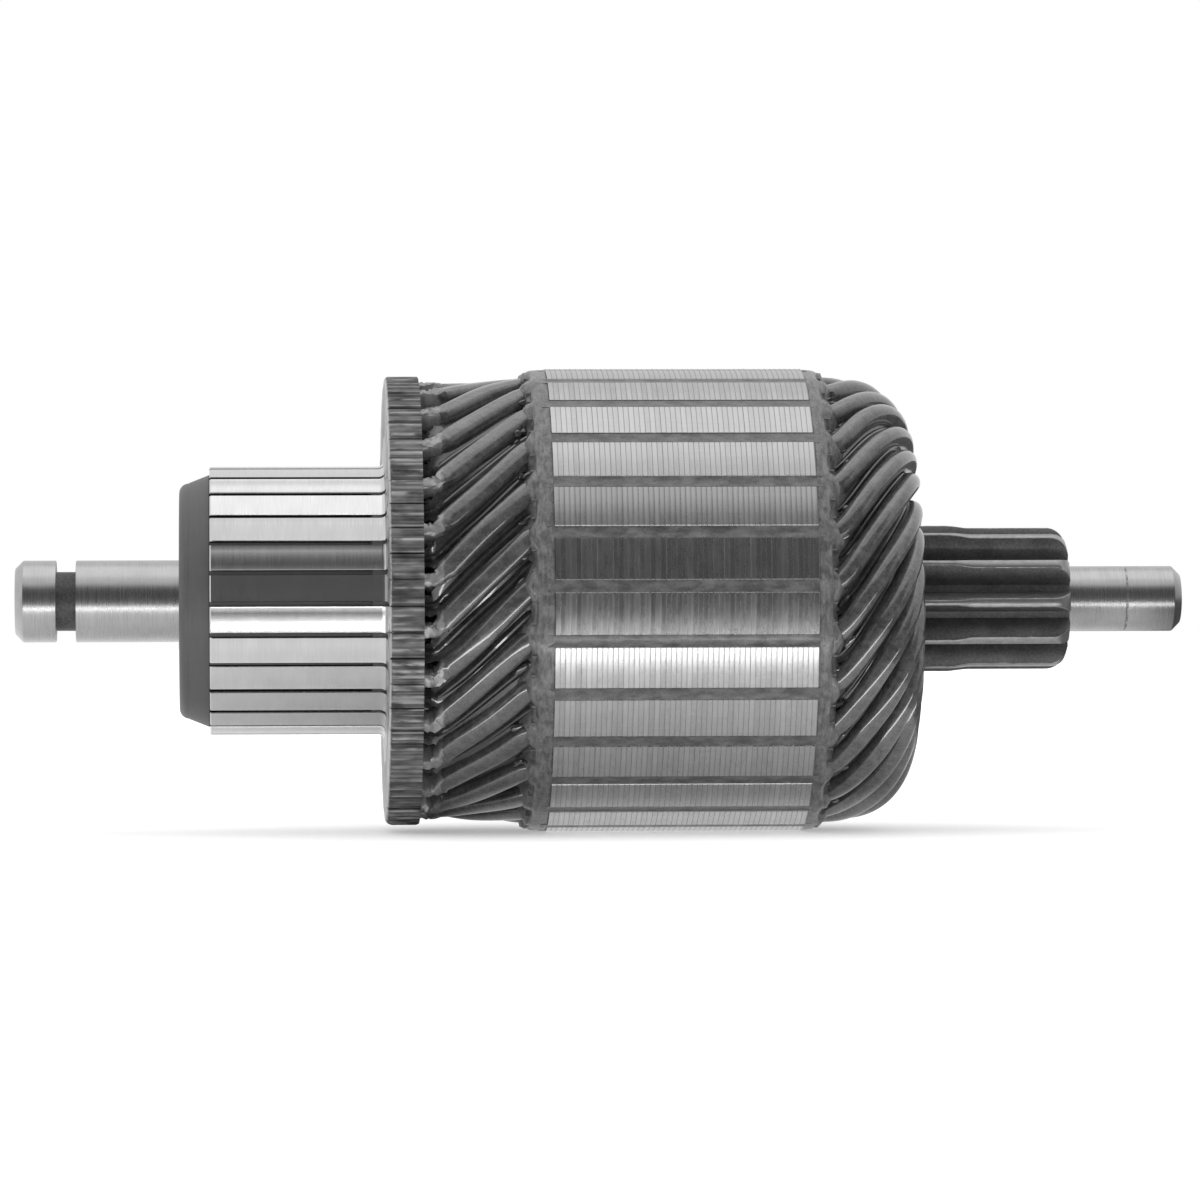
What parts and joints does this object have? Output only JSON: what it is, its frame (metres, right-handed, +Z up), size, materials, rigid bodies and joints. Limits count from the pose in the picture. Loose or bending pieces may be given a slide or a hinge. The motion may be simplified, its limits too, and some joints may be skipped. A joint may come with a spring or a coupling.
{
  "type": "motor armature",
  "caption": "Wound motor armature: shaft with integral pinion, slotted laminated core, hairpin winding and moulded commutator.",
  "frame": {"origin": "centre of the shaft's commutator-end face, on the shaft axis", "axes": "+X along the shaft from the commutator end to the pinion, +Z up as the armature lies on its core with a slot facing down"},
  "size_m": [0.1431, 0.0566, 0.0566],
  "materials": {
    "ground_steel": "ground and turned",
    "sheet_steel": "turned sheet edges",
    "coated_disc": "coated insulating disc",
    "moulding": "moulded phenolic",
    "liner": "folded insulating sheet",
    "set_resin": "set resin",
    "bar_copper": "turned copper",
    "enamelled_copper": "enamelled and varnished copper"
  },
  "bodies": {
    "root": {"armature_shaft": "ground_steel", "lamination_stack": "sheet_steel", "end_discs": "coated_disc", "commutator_hub": "moulding", "slot_liners": "liner", "slot_wedges": "set_resin", "commutator_bar_01": "bar_copper", "commutator_bar_02": "bar_copper", "commutator_bar_03": "bar_copper", "commutator_bar_04": "bar_copper", "commutator_bar_05": "bar_copper", "commutator_bar_06": "bar_copper", "commutator_bar_07": "bar_copper", "commutator_bar_08": "bar_copper", "commutator_bar_09": "bar_copper", "commutator_bar_10": "bar_copper", "commutator_bar_11": "bar_copper", "commutator_bar_12": "bar_copper", "commutator_bar_13": "bar_copper", "commutator_bar_14": "bar_copper", "commutator_bar_15": "bar_copper", "commutator_bar_16": "bar_copper", "commutator_bar_17": "bar_copper", "commutator_bar_18": "bar_copper", "commutator_bar_19": "bar_copper", "commutator_bar_20": "bar_copper", "commutator_bar_21": "bar_copper", "commutator_bar_22": "bar_copper", "commutator_bar_23": "bar_copper", "commutator_bar_24": "bar_copper", "commutator_bar_25": "bar_copper", "commutator_bar_26": "bar_copper", "commutator_bar_27": "bar_copper", "hairpin_coil_01": "enamelled_copper", "hairpin_coil_02": "enamelled_copper", "hairpin_coil_03": "enamelled_copper", "hairpin_coil_04": "enamelled_copper", "hairpin_coil_05": "enamelled_copper", "hairpin_coil_06": "enamelled_copper", "hairpin_coil_07": "enamelled_copper", "hairpin_coil_08": "enamelled_copper", "hairpin_coil_09": "enamelled_copper", "hairpin_coil_10": "enamelled_copper", "hairpin_coil_11": "enamelled_copper", "hairpin_coil_12": "enamelled_copper", "hairpin_coil_13": "enamelled_copper", "hairpin_coil_14": "enamelled_copper", "hairpin_coil_15": "enamelled_copper", "hairpin_coil_16": "enamelled_copper", "hairpin_coil_17": "enamelled_copper", "hairpin_coil_18": "enamelled_copper", "hairpin_coil_19": "enamelled_copper", "hairpin_coil_20": "enamelled_copper", "hairpin_coil_21": "enamelled_copper", "hairpin_coil_22": "enamelled_copper", "hairpin_coil_23": "enamelled_copper", "hairpin_coil_24": "enamelled_copper", "hairpin_coil_25": "enamelled_copper", "hairpin_coil_26": "enamelled_copper", "hairpin_coil_27": "enamelled_copper"}
  },
  "joints": []
}
